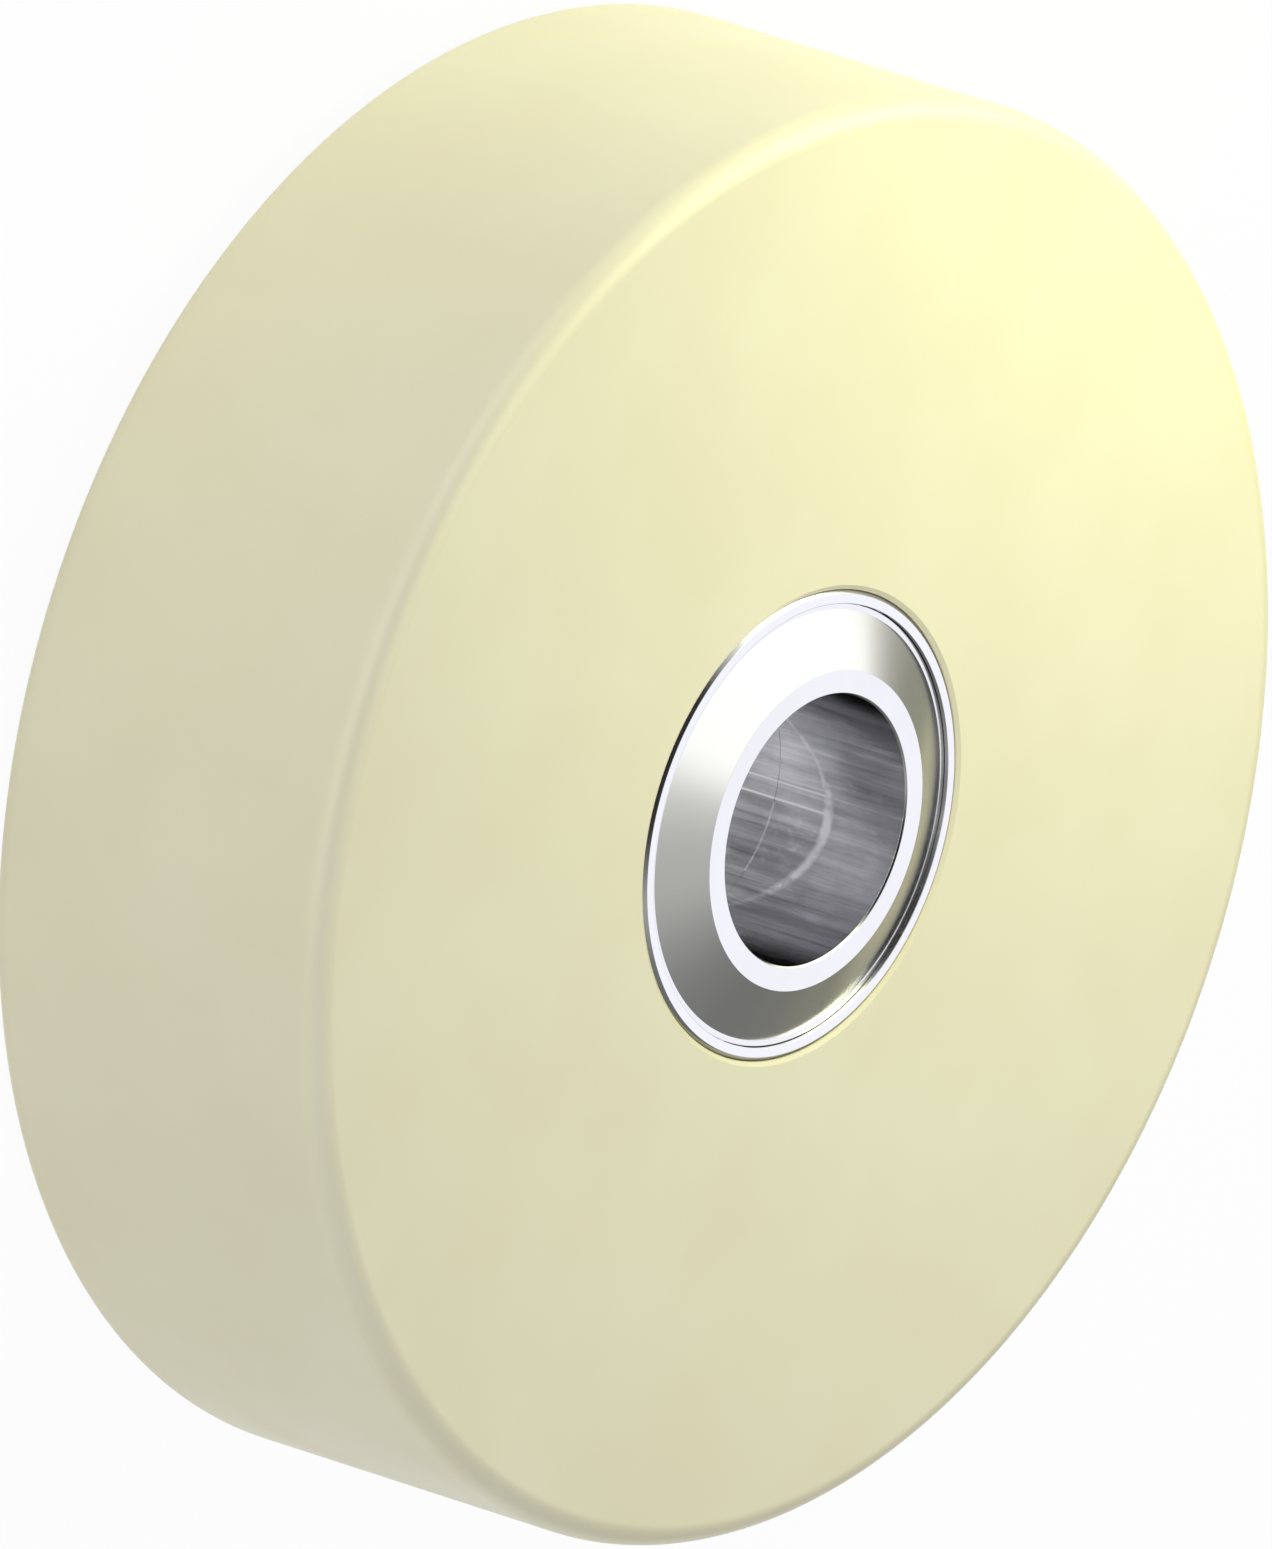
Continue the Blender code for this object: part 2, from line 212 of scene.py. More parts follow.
class HubSizes(bpy.types.PropertyGroup):
    """Sizes of the flanged bushes and of the spacer between the inner rings."""

    bore: length("Axle bore radius", "Half the axle diameter", 37.5)
    bore_chamfer: length("Bore chamfer", "Chamfer at the mouth of the axle bore", 0.5)
    end: length("Hub end height", "Height of the hub's end face", node_span("bush_front", 2))
    face: length("End face radius", "Outer radius of the flat end face", 44.3)
    cone: length("Cone foot radius", "Where the cone meets the flat land round it", 59.4)
    flange: length("Flange radius", "Outer radius of the flat land", 61.0)
    foot: length("Land height", "Height of the flat land", 56.011)
    lip: length("Flange lip height", "Underside of the flange's edge", 55.161)
    relief: length("Relief radius", "Where the underside turns level", 53.72)
    seat: length("Seat height", "Underside of the flange on the inner ring", 57.6)
    spigot: length("Spigot radius", "Radius of the spigot in the bearing", 42.2)
    spigot_end: length("Spigot end height", "Inner end of the spigot", 18.5)
    spacer_inner: length("Spacer shoulder height", "Where the spacer's counterbore starts", 18.4)
    spacer_end: length("Spacer end height", "Where the spacer meets the bearing", 35.0)
    counterbore: length("Counterbore radius", "Radius of the spacer's counterbore", 42.5)
    spacer: length("Spacer radius", "Outer radius of the spacer", 48.5)


class BearingSizes(bpy.types.PropertyGroup):
    """Sizes of the two deep-groove ball bearings, measured from the middle of their balls."""

    centre: length("Bearing height", "Middle of the balls, above the middle of the wheel", 46.3)
    radius: length("Bearing radius", "Outer radius of the outer ring", 65.0)
    half_width: length("Half width", "Half the width of a ring", 11.0)
    chamfer: length("Ring chamfer", "Chamfer on the outer ring", 1.1)
    pitch: length("Pitch radius", "Radius of the circle that the balls lie on", 53.75)
    groove: length("Groove radius", "Radius of the ball groove", 7.65)
    outer_shoulder: length("Outer shoulder", "Radius of the outer ring beside its groove", 58.0)
    seal_seat: length("Seal seat radius", "Radius of the groove that holds the seal", 61.2)
    seal_seat_height: length("Seal seat height", "Where the seal seat starts", 6.761)
    ball: length("Ball radius", "Half the diameter of a ball", 7.15)
    seal_lip: length("Seal lip radius", "Inner radius of the seal", 49.8)
    seal_edge: length("Seal edge radius", "Outer radius of the seal's bead", 60.9)
    seal_bead: length("Seal bead radius", "Inner radius of the seal's bead", 58.1)
    seal_top: length("Seal face height", "Outside of the seal", 9.6)
    seal_bottom: length("Seal back height", "Inside of the seal", 8.5)
    bead_top: length("Bead top height", "Top of the seal's bead", 8.461)
    bead_bottom: length("Bead foot height", "Foot of the seal's bead", 7.061)


class WheelFinishes(bpy.types.PropertyGroup):
    """Colours of the materials and of the studio."""

    nylon: colour("Cast nylon", "Natural cast nylon", "#E9E4B6")
    nylon_deep: colour("Cast nylon, deeper", "Faint clouds in the nylon", "#E7E1B2")
    bush_steel: colour("Bush steel", "Bright zinc plate on turned steel", "#AAAAAA")
    bore_steel: colour("Bore steel", "Honed steel in the axle bore", "#C3C3C6")
    ring_steel: colour("Ring steel", "Ground bearing steel", "#AAAAAB")
    ball_steel: colour("Ball steel", "Lapped bearing steel", "#E2E2E6")
    seal_rubber: colour("Seal rubber", "Black nitrile rubber", "#1B1B1D")
    cage_nylon: colour("Cage nylon", "Natural glass-filled nylon", "#D9CFAE")
    floor: colour("Floor", "Pale studio floor", "#F2F2F2")
    key_light: colour("Key lamp", "Large warm lamp", "#FDFFCB")
    back_light: colour("Back lamp", "Lamp that the flat steel faces reflect", "#EEEEFF")
    room: colour("Room", "Light from the room", "#E6E7FF")


class HeavyDutyWheel(bpy.types.PropertyGroup):
    """Everything about the wheel that a user may change."""

    nylon: PointerProperty(type=NylonWheelSizes, name="Nylon wheel", description="Sizes of the nylon wheel")
    hub: PointerProperty(type=HubSizes, name="Hub", description="Sizes of the bushes and the spacer")
    bearing: PointerProperty(type=BearingSizes, name="Bearing", description="Sizes of the ball bearings")
    finishes: PointerProperty(type=WheelFinishes, name="Finishes", description="Colours of the materials")


def rounded(points, radii, steps=6, closed=True):
    """Outline with its corners rounded.

    At each corner the arc starts and ends at radius * tan(half the turn) from the corner, and its
    points lie at centre + radius * (cos, sin). A point just outside each end of the arc keeps the
    flat beside it flat. An open outline keeps its first and last point.
    """
    p = np.array(points, float) * MM
    radius = np.array(radii, float)[:, None] * MM
    before = p - np.roll(p, 1, axis=0)
    after = np.roll(p, -1, axis=0) - p
    before /= np.linalg.norm(before, axis=1, keepdims=True)
    after /= np.linalg.norm(after, axis=1, keepdims=True)
    cross = before[:, 0] * after[:, 1] - before[:, 1] * after[:, 0]
    turn = np.arctan2(cross, (before * after).sum(1))[:, None]
    side = np.sign(turn)
    reach = radius * np.tan(np.abs(turn) / 2)
    normal = np.stack([-before[:, 1], before[:, 0]], 1) * side
    centre = p - before * reach + normal * radius
    start = np.arctan2(-normal[:, 1], -normal[:, 0])[:, None]
    angle = start + turn * np.linspace(0.0, 1.0, steps + 1)[None, :]
    arc = centre[:, None, :] + radius[:, :, None] * np.stack([np.cos(angle), np.sin(angle)], 2)
    hold = np.minimum(reach, CORNER_HOLD * MM)
    first = (p - before * (reach + hold))[:, None, :]
    last = (p + after * (reach + hold))[:, None, :]
    corners = np.concatenate([first, arc, last], axis=1)
    if closed:
        return corners.reshape(-1, 2)
    return np.concatenate([p[:1], corners[1:-1].reshape(-1, 2), p[-1:]])


def arc_points(centre, radius, start, end, steps):
    """Points at centre + radius * (cos, sin) for even steps of angle, in degrees."""
    angle = np.radians(np.linspace(start, end, steps + 1))
    return (np.array(centre) + radius * np.stack([np.cos(angle), np.sin(angle)], 1)) * MM


def both_halves(upper):
    """Outline points above the mid-plane, then the same ones reflected below it in reverse."""
    return list(upper) + [(r, -z) for r, z in reversed(upper)]


def mesh_from_grid(name, x, y, z, wrap_rows):
    """Mesh whose vertices are a grid of points: rows along the outline, columns round the axis.

    The face at row i and column j joins the points (i, j), (i + 1, j), (i + 1, j + 1) and
    (i, j + 1), with the last column joined to the first, and the rows too if wrap_rows is set.
    """
    rows, columns = x.shape
    i = np.arange(rows if wrap_rows else rows - 1)[:, None]
    j = np.arange(columns)[None, :]
    i2, j2 = (i + 1) % rows, (j + 1) % columns
    corners = [i * columns + j, i2 * columns + j, i2 * columns + j2, i * columns + j2]
    faces = np.stack(corners, 2).reshape(-1, 4)
    mesh = bpy.data.meshes.new(name)
    mesh.vertices.add(rows * columns)
    mesh.vertices.foreach_set("co", np.stack([x, y, z], 2).astype(np.float32).ravel())
    mesh.loops.add(faces.size)
    mesh.loops.foreach_set("vertex_index", faces.astype(np.int32).ravel())
    mesh.polygons.add(len(faces))
    mesh.polygons.foreach_set("loop_start", np.arange(0, faces.size, 4, dtype=np.int32))
    mesh.update(calc_edges=True)
    return mesh


def turned_surface(name, outline, columns):
    """Surface of revolution: the point (r, z) of a closed outline goes to (r cos a, r sin a, z).

    The faces point outwards when the outline runs clockwise, seen with r to the right and z up, so
    that the solid lies on its right. Its area is then negative, and an outline whose area comes out
    positive is turned round.
    """
    r, z = outline[:, 0], outline[:, 1]
    area = (r * np.roll(z, -1) - np.roll(r, -1) * z).sum()
    if area > 0:
        r, z = r[::-1], z[::-1]
    angle = np.linspace(0.0, 2 * np.pi, columns, endpoint=False)[None, :]
    x = r[:, None] * np.cos(angle)
    y = r[:, None] * np.sin(angle)
    return mesh_from_grid(name, x, y, np.repeat(z[:, None], columns, axis=1), True)


def ball_surface(name, centre, radius, rows, columns):
    """Sphere: latitude runs from pole to pole and longitude round it.

    A point is centre + radius * (cos lat cos lon, cos lat sin lon, sin lat). The first and last
    rows lie at the poles, where their columns are merged into one point.
    """
    latitude = np.linspace(np.pi / 2, -np.pi / 2, rows)[:, None]
    longitude = np.linspace(0.0, 2 * np.pi, columns, endpoint=False)[None, :]
    x = centre[0] + radius * np.cos(latitude) * np.cos(longitude)
    y = centre[1] + radius * np.cos(latitude) * np.sin(longitude)
    z = centre[2] + radius * np.sin(latitude) * np.ones_like(longitude)
    mesh = mesh_from_grid(name, x, y, z, False)
    close_poles(mesh)
    return mesh


def close_poles(mesh):
    """Merge points that lie on one another."""
    form = bmesh.new()
    form.from_mesh(mesh)
    bmesh.ops.remove_doubles(form, verts=form.verts, dist=MERGE_DISTANCE * MM)
    form.to_mesh(mesh)
    form.free()


def add_piece(mesh, body, materials, replaces):
    """Link a mesh as a piece that rides on a CAD body and stands for CAD nodes."""
    mesh.polygons.foreach_set("use_smooth", np.ones(len(mesh.polygons), bool))
    mesh.set_sharp_from_angle(angle=math.radians(SHARP_ANGLE))
    piece = bpy.data.objects.new(mesh.name, mesh)
    bpy.context.scene.collection.objects.link(piece)
    for material in materials:
        mesh.materials.append(material)
    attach(piece, body)
    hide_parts(*replaces)


def finish_node(name, material):
    """Give a CAD node a material in place of its own."""
    slots = frame["nodes"][name].data.materials
    slots.clear()
    slots.append(material)


def paint_inside(mesh, radius, index):
    """Give the faces on a bore of this radius another material slot."""
    centres = np.empty(len(mesh.polygons) * 3, np.float32)
    mesh.polygons.foreach_get("center", centres)
    distance = np.hypot(*centres.reshape(-1, 3)[:, :2].T)
    mesh.polygons.foreach_set("material_index", np.where(distance < radius, index, 0).astype(np.int32))


def add_node(tree, kind, inputs=None, **fields):
    """Add a node, set its fields, and link a socket or write a value to each named input."""
    node = tree.nodes.new(kind)
    for field, value in fields.items():
        setattr(node, field, value)
    for name, value in (inputs or {}).items():
        if isinstance(value, bpy.types.NodeSocket):
            tree.links.new(value, node.inputs[name])
        else:
            node.inputs[name].default_value = value
    return node


def new_material(name):
    """Empty node material and its tree."""
    material = bpy.data.materials.new(name)
    material.use_nodes = True
    material.node_tree.nodes.clear()
    return material, material.node_tree


def metres(place):
    """Point in metres from one in millimetres."""
    return tuple(value * MM for value in place)


def rgba(value):
    """Colour with full opacity."""
    return (*value, 1.0)


def surface(tree, inputs):
    """End a material with a Principled shader."""
    shader = add_node(tree, "ShaderNodeBsdfPrincipled", inputs)
    add_node(tree, "ShaderNodeOutputMaterial", {"Surface": shader.outputs["BSDF"]})


def turning_marks(tree, place, pitch):
    """Height of lathe marks: a sine of the distance from the axis less the height, over the pitch."""
    split = add_node(tree, "ShaderNodeSeparateXYZ", {0: place})
    flat = add_node(tree, "ShaderNodeVectorMath", {0: place, 1: (1.0, 1.0, 0.0)}, operation="MULTIPLY")
    radius = add_node(tree, "ShaderNodeVectorMath", {0: flat.outputs[0]}, operation="LENGTH")
    along = add_node(tree, "ShaderNodeMath", {
        0: radius.outputs["Value"], 1: split.outputs["Z"],
    }, operation="SUBTRACT")
    phase = add_node(tree, "ShaderNodeMath", {
        0: along.outputs[0], 1: 2 * math.pi / pitch,
    }, operation="MULTIPLY")
    return add_node(tree, "ShaderNodeMath", {0: phase.outputs[0]}, operation="SINE").outputs[0]


def natural_cast_nylon(finishes):
    """Natural cast polyamide, machined all over.

    A waxy cream solid with a soft satin gloss: faint clouds 50 mm across from the casting, a fine
    matt grain, and feed marks from the lathe, drawn 1.6 mm apart where the real ones are 0.3 mm.
    """
    material, tree = new_material("natural_cast_nylon")
    place = add_node(tree, "ShaderNodeTexCoord").outputs["Object"]
    clouds = add_node(tree, "ShaderNodeTexNoise", {
        "Vector": place, "Scale": 20.0, "Detail": 3.0, "Roughness": 0.5,
    })
    amount = add_node(tree, "ShaderNodeMapRange", {
        "Value": clouds.outputs["Fac"], "From Min": 0.35, "From Max": 0.65,
        "To Min": 0.0, "To Max": 1.0,
    })
    tint = add_node(tree, "ShaderNodeMix", {
        "Factor": amount.outputs["Result"], 6: rgba(finishes.nylon), 7: rgba(finishes.nylon_deep),
    }, data_type="RGBA")
    grain = add_node(tree, "ShaderNodeTexNoise", {
        "Vector": place, "Scale": 900.0, "Detail": 2.0, "Roughness": 0.6,
    })
    gloss = add_node(tree, "ShaderNodeMapRange", {
        "Value": clouds.outputs["Fac"], "From Min": 0.3, "From Max": 0.7,
        "To Min": 0.36, "To Max": 0.42,
    })
    marks = turning_marks(tree, place, NYLON_FEED * MM)
    height = add_node(tree, "ShaderNodeMath", {
        0: marks, 1: 0.25, 2: grain.outputs["Fac"],
    }, operation="MULTIPLY_ADD")
    bump = add_node(tree, "ShaderNodeBump", {
        "Height": height.outputs[0], "Strength": 0.25, "Distance": 0.02 * MM,
    })
    surface(tree, {
        "Base Color": tint.outputs[2], "Roughness": gloss.outputs["Result"],
        "Normal": bump.outputs["Normal"], "IOR": 1.53,
    })
    return material


def bright_turned_steel(finishes):
    """Turned steel with a bright zinc plate.

    Almost a mirror, and neutral in colour. Fine rings from the lathe, drawn 0.8 mm apart where the real
    ones are 0.15 mm, spread the reflections a little across themselves.
    """
    material, tree = new_material("bright_zinc_plated_turned_steel")
    place = add_node(tree, "ShaderNodeTexCoord").outputs["Object"]
    marks = turning_marks(tree, place, STEEL_FEED * MM)
    haze = add_node(tree, "ShaderNodeTexNoise", {
        "Vector": place, "Scale": 60.0, "Detail": 4.0, "Roughness": 0.6,
    })
    gloss = add_node(tree, "ShaderNodeMapRange", {
        "Value": haze.outputs["Fac"], "From Min": 0.3, "From Max": 0.7, "To Min": 0.15, "To Max": 0.21,
    })
    bump = add_node(tree, "ShaderNodeBump", {"Height": marks, "Strength": 0.06, "Distance": 0.01 * MM})
    surface(tree, {
        "Base Color": rgba(finishes.bush_steel), "Metallic": 1.0, "Roughness": gloss.outputs["Result"],
        "Normal": bump.outputs["Normal"],
    })
    return material


def honed_bore_steel(finishes):
    """Steel of the axle bore, drawn, honed and wiped with oil.

    Streaks lie along the axle, 3 mm wide and some 80 mm long, and thin smears of oil 17 mm across
    lighten it. A painted highlight line 0.6 mm wide and its fainter twin run along the axle from inside
    up to a painted highlight arc 4 mm wide on the slanted plane z = 1.489 y - 18.2 mm. A painted
    highlight line 0.5 mm wide and 20 mm long lies where the spacer meets the front bush. Two patches
    are painted lighter as reflected light, and a third patch is darker.
    """
    material, tree = new_material("honed_bore_steel_painted_light")
    place = add_node(tree, "ShaderNodeTexCoord").outputs["Object"]
    along = add_node(tree, "ShaderNodeMapping", {"Vector": place, "Scale": (320.0, 320.0, 12.0)})
    streaks = add_node(tree, "ShaderNodeTexNoise", {
        "Vector": along.outputs["Vector"], "Scale": 1.0, "Detail": 5.0, "Roughness": 0.65, "Distortion": 0.6,
    })
    oil = add_node(tree, "ShaderNodeTexNoise", {
        "Vector": place, "Scale": 60.0, "Detail": 8.0, "Roughness": 0.7,
    })
    smears = add_node(tree, "ShaderNodeMapRange", {
        "Value": oil.outputs["Fac"], "From Min": 0.56, "From Max": 0.72, "To Min": 0.0, "To Max": 0.5,
    })
    tone = add_node(tree, "ShaderNodeMapRange", {
        "Value": streaks.outputs["Fac"], "From Min": 0.3, "From Max": 0.7, "To Min": 0.6, "To Max": 1.3,
    })
    split = add_node(tree, "ShaderNodeSeparateXYZ", {0: place})
    # Painted highlight: a bright arc 4 mm wide on the slanted plane, its strength varied by the oil noise.
    slant = add_node(tree, "ShaderNodeVectorMath", {
        0: place, 1: (0.0, -ARC_SLOPE, 1.0),
    }, operation="DOT_PRODUCT")
    off = add_node(tree, "ShaderNodeMath", {
        0: slant.outputs["Value"], 1: -ARC_HEIGHT * MM,
    }, operation="ADD")
    beside = add_node(tree, "ShaderNodeMath", {0: off.outputs[0]}, operation="ABSOLUTE")
    arc = add_node(tree, "ShaderNodeMapRange", {
        "Value": beside.outputs[0], "From Min": 0.3 * MM, "From Max": 2.2 * MM,
        "To Min": 1.0, "To Max": 0.0,
    })
    patchy = add_node(tree, "ShaderNodeMapRange", {
        "Value": oil.outputs["Fac"], "From Min": 0.42, "From Max": 0.62, "To Min": 0.25, "To Max": 1.6,
    })
    arc_glint = add_node(tree, "ShaderNodeMath", {
        0: arc.outputs["Result"], 1: patchy.outputs["Result"],
    }, operation="MULTIPLY")
    # Painted highlight: two bright lines along the axle, strong below the arc's plane and faint above it.
    axial_glint = add_node(tree, "ShaderNodeMath", {
        0: split.outputs["X"], 1: AXIAL_GLINT * MM, 2: AXIAL_GLINT_HALF_WIDTH * MM,
    }, operation="COMPARE")
    twin = add_node(tree, "ShaderNodeMath", {
        0: split.outputs["X"], 1: TWIN * MM, 2: TWIN_HALF_WIDTH * MM,
    }, operation="COMPARE")
    lines = add_node(tree, "ShaderNodeMath", {
        0: axial_glint.outputs[0], 1: twin.outputs[0],
    }, operation="MAXIMUM")
    fading = add_node(tree, "ShaderNodeMapRange", {
        "Value": off.outputs[0], "From Min": -1.0 * MM, "From Max": 1.0 * MM,
        "To Min": 1.2, "To Max": 0.25,
    })
    drawn = add_node(tree, "ShaderNodeMath", {
        0: lines.outputs[0], 1: fading.outputs["Result"],
    }, operation="MULTIPLY")
    # Painted highlight on the joint line where the spacer meets the front bush, 20 mm long.
    joint = add_node(tree, "ShaderNodeMath", {
        0: split.outputs["Z"], 1: JOINT * MM, 2: JOINT_HALF_WIDTH * MM,
    }, operation="COMPARE")
    span = add_node(tree, "ShaderNodeMath", {
        0: split.outputs["X"], 1: JOINT_MIDDLE * MM, 2: JOINT_HALF_LENGTH * MM,
    }, operation="COMPARE")
    joint_glint = add_node(tree, "ShaderNodeMath", {
        0: joint.outputs[0], 1: span.outputs[0],
    }, operation="MULTIPLY")
    # Painted reflected light: two patches lightened round given points, their edges roughened by the oil
    # noise.
    inside = add_node(tree, "ShaderNodeVectorMath", {
        0: place, 1: metres(PAINTED_GLOW_INSIDE),
    }, operation="DISTANCE")
    mouth = add_node(tree, "ShaderNodeVectorMath", {
        0: place, 1: metres(PAINTED_GLOW_MOUTH),
    }, operation="DISTANCE")
    nearest = add_node(tree, "ShaderNodeMath", {
        0: inside.outputs["Value"], 1: mouth.outputs["Value"],
    }, operation="MINIMUM")
    rough_edge = add_node(tree, "ShaderNodeMath", {
        0: oil.outputs["Fac"], 1: -30.0 * MM, 2: nearest.outputs[0],
    }, operation="MULTIPLY_ADD")
    haze = add_node(tree, "ShaderNodeMapRange", {
        "Value": rough_edge.outputs[0], "From Min": -14.0 * MM, "From Max": 6.0 * MM,
        "To Min": 0.7, "To Max": 0.0,
    })
    edge = add_node(tree, "ShaderNodeMath", {
        0: drawn.outputs[0], 1: joint_glint.outputs[0],
    }, operation="MAXIMUM")
    marks = add_node(tree, "ShaderNodeMath", {
        0: edge.outputs[0], 1: arc_glint.outputs[0],
    }, operation="MAXIMUM")
    # Random smears of oil together with the painted reflected light of the two patches.
    smears_and_painted_glow = add_node(tree, "ShaderNodeMath", {
        0: smears.outputs["Result"], 1: haze.outputs["Result"],
    }, operation="MAXIMUM")
    # Painted highlights, painted reflected light and smears of oil together: they lighten the colour and
    # raise the roughness.
    painted_light_and_smears = add_node(tree, "ShaderNodeMath", {
        0: marks.outputs[0], 1: smears_and_painted_glow.outputs[0],
    }, operation="MAXIMUM")
    # A patch round a given point is darker.
    shade = add_node(tree, "ShaderNodeVectorMath", {
        0: place, 1: metres(DARK_PATCH),
    }, operation="DISTANCE")
    dull = add_node(tree, "ShaderNodeMapRange", {
        "Value": shade.outputs["Value"], "From Min": 6.0 * MM, "From Max": 24.0 * MM,
        "To Min": -0.32, "To Max": 0.0,
    })
    toned = add_node(tree, "ShaderNodeMath", {
        0: dull.outputs["Result"], 1: tone.outputs["Result"],
    }, operation="ADD")
    bright = add_node(tree, "ShaderNodeMath", {
        0: painted_light_and_smears.outputs[0], 1: toned.outputs[0],
    }, operation="ADD")
    metal = add_node(tree, "ShaderNodeVectorMath", {
        0: finishes.bore_steel, "Scale": bright.outputs[0],
    }, operation="SCALE")
    gloss = add_node(tree, "ShaderNodeMapRange", {
        "Value": painted_light_and_smears.outputs[0], "From Min": 0.0, "From Max": 0.8, "To Min": 0.1, "To Max": 0.2,
    })
    bump = add_node(tree, "ShaderNodeBump", {
        "Height": streaks.outputs["Fac"], "Strength": 0.5, "Distance": 0.2 * MM,
    })
    surface(tree, {
        "Base Color": metal.outputs[0], "Metallic": 1.0, "Roughness": gloss.outputs["Result"],
        "Normal": bump.outputs["Normal"],
    })
    return material


def ground_bearing_steel(finishes):
    """Hardened chromium steel, ground: bright, with a fine even haze from the wheel's grit."""
    material, tree = new_material("ground_bearing_steel")
    place = add_node(tree, "ShaderNodeTexCoord").outputs["Object"]
    grit = add_node(tree, "ShaderNodeTexNoise", {"Vector": place, "Scale": 700.0, "Detail": 2.0})
    gloss = add_node(tree, "ShaderNodeMapRange", {
        "Value": grit.outputs["Fac"], "From Min": 0.3, "From Max": 0.7, "To Min": 0.12, "To Max": 0.18,
    })
    surface(tree, {
        "Base Color": rgba(finishes.ring_steel), "Metallic": 1.0, "Roughness": gloss.outputs["Result"],
    })
    return material


def lapped_ball_steel(finishes):
    """Hardened chromium steel, lapped to a mirror, with a trace of grease that dulls it in patches.

    The balls have it, and so do the groove and the seal seats inside each outer ring.
    """
    material, tree = new_material("lapped_ball_steel")
    place = add_node(tree, "ShaderNodeTexCoord").outputs["Object"]
    grease = add_node(tree, "ShaderNodeTexNoise", {"Vector": place, "Scale": 250.0, "Detail": 3.0})
    gloss = add_node(tree, "ShaderNodeMapRange", {
        "Value": grease.outputs["Fac"], "From Min": 0.45, "From Max": 0.7,
        "To Min": 0.05, "To Max": 0.22,
    })
    surface(tree, {
        "Base Color": rgba(finishes.ball_steel), "Metallic": 1.0, "Roughness": gloss.outputs["Result"],
    })
    return material


def moulded_seal_rubber(finishes):
    """Black nitrile rubber from a sandblasted mould: dull, with a fine pebble 0.4 mm across."""
    material, tree = new_material("moulded_nitrile_rubber")
    place = add_node(tree, "ShaderNodeTexCoord").outputs["Object"]
    pebble = add_node(tree, "ShaderNodeTexNoise", {"Vector": place, "Scale": 2500.0, "Detail": 1.0})
    bloom = add_node(tree, "ShaderNodeTexNoise", {"Vector": place, "Scale": 80.0, "Detail": 4.0})
    gloss = add_node(tree, "ShaderNodeMapRange", {
        "Value": bloom.outputs["Fac"], "From Min": 0.3, "From Max": 0.7, "To Min": 0.5, "To Max": 0.68,
    })
    bump = add_node(tree, "ShaderNodeBump", {
        "Height": pebble.outputs["Fac"], "Strength": 0.3, "Distance": 0.03 * MM,
    })
    surface(tree, {
        "Base Color": rgba(finishes.seal_rubber), "Roughness": gloss.outputs["Result"],
        "Normal": bump.outputs["Normal"], "IOR": 1.52,
    })
    return material


def moulded_cage_nylon(finishes):
    """Glass-filled nylon, injection moulded: ivory, half matt, with short fibres that show faintly."""
    material, tree = new_material("moulded_cage_nylon")
    place = add_node(tree, "ShaderNodeTexCoord").outputs["Object"]
    stretched = add_node(tree, "ShaderNodeMapping", {"Vector": place, "Scale": (1.0, 1.0, 4.0)})
    fibres = add_node(tree, "ShaderNodeTexNoise", {
        "Vector": stretched.outputs["Vector"], "Scale": 900.0, "Detail": 4.0,
    })
    tone = add_node(tree, "ShaderNodeMapRange", {
        "Value": fibres.outputs["Fac"], "From Min": 0.3, "From Max": 0.7, "To Min": 0.9, "To Max": 1.0,
    })
    tint = add_node(tree, "ShaderNodeVectorMath", {
        0: finishes.cage_nylon, "Scale": tone.outputs["Result"],
    }, operation="SCALE")
    bump = add_node(tree, "ShaderNodeBump", {
        "Height": fibres.outputs["Fac"], "Strength": 0.2, "Distance": 0.02 * MM,
    })
    surface(tree, {
        "Base Color": tint.outputs[0], "Roughness": 0.5, "Normal": bump.outputs["Normal"], "IOR": 1.53,
    })
    return material


MADE = {}


def shared(make, finishes):
    """The material that a function makes, made once."""
    if make not in MADE:
        MADE[make] = make(finishes)
    return MADE[make]


class WHEEL_OT_nylon_wheel(bpy.types.Operator):
    """Turn the solid nylon wheel with its round tread corners and stepped bore."""

    bl_idname = "wheel.nylon_wheel"
    bl_label = "Nylon wheel"

    def execute(self, context):
        size = context.scene.heavy_duty_wheel.nylon
        r, h = size.radius / MM, size.half_width / MM
        seat, mouth, mouth_depth = size.seat / MM, size.mouth / MM, size.mouth_depth / MM
        upper = [
            (r, h),
            (seat + mouth, h),
            (seat, h - mouth_depth),
            (seat, size.shoulder / MM),
            (size.waist / MM, size.shoulder / MM),
        ]
        radii = [size.corner / MM, *NYLON_EDGES]
        outline = rounded(both_halves(upper), radii + radii[::-1], steps=CORNER_STEPS)
        mesh = turned_surface("nylon_wheel", outline, WHEEL_COLUMNS)
        nylon = shared(natural_cast_nylon, context.scene.heavy_duty_wheel.finishes)
        add_piece(mesh, "wheel", [nylon], ["wheel_body"])
        return {"FINISHED"}


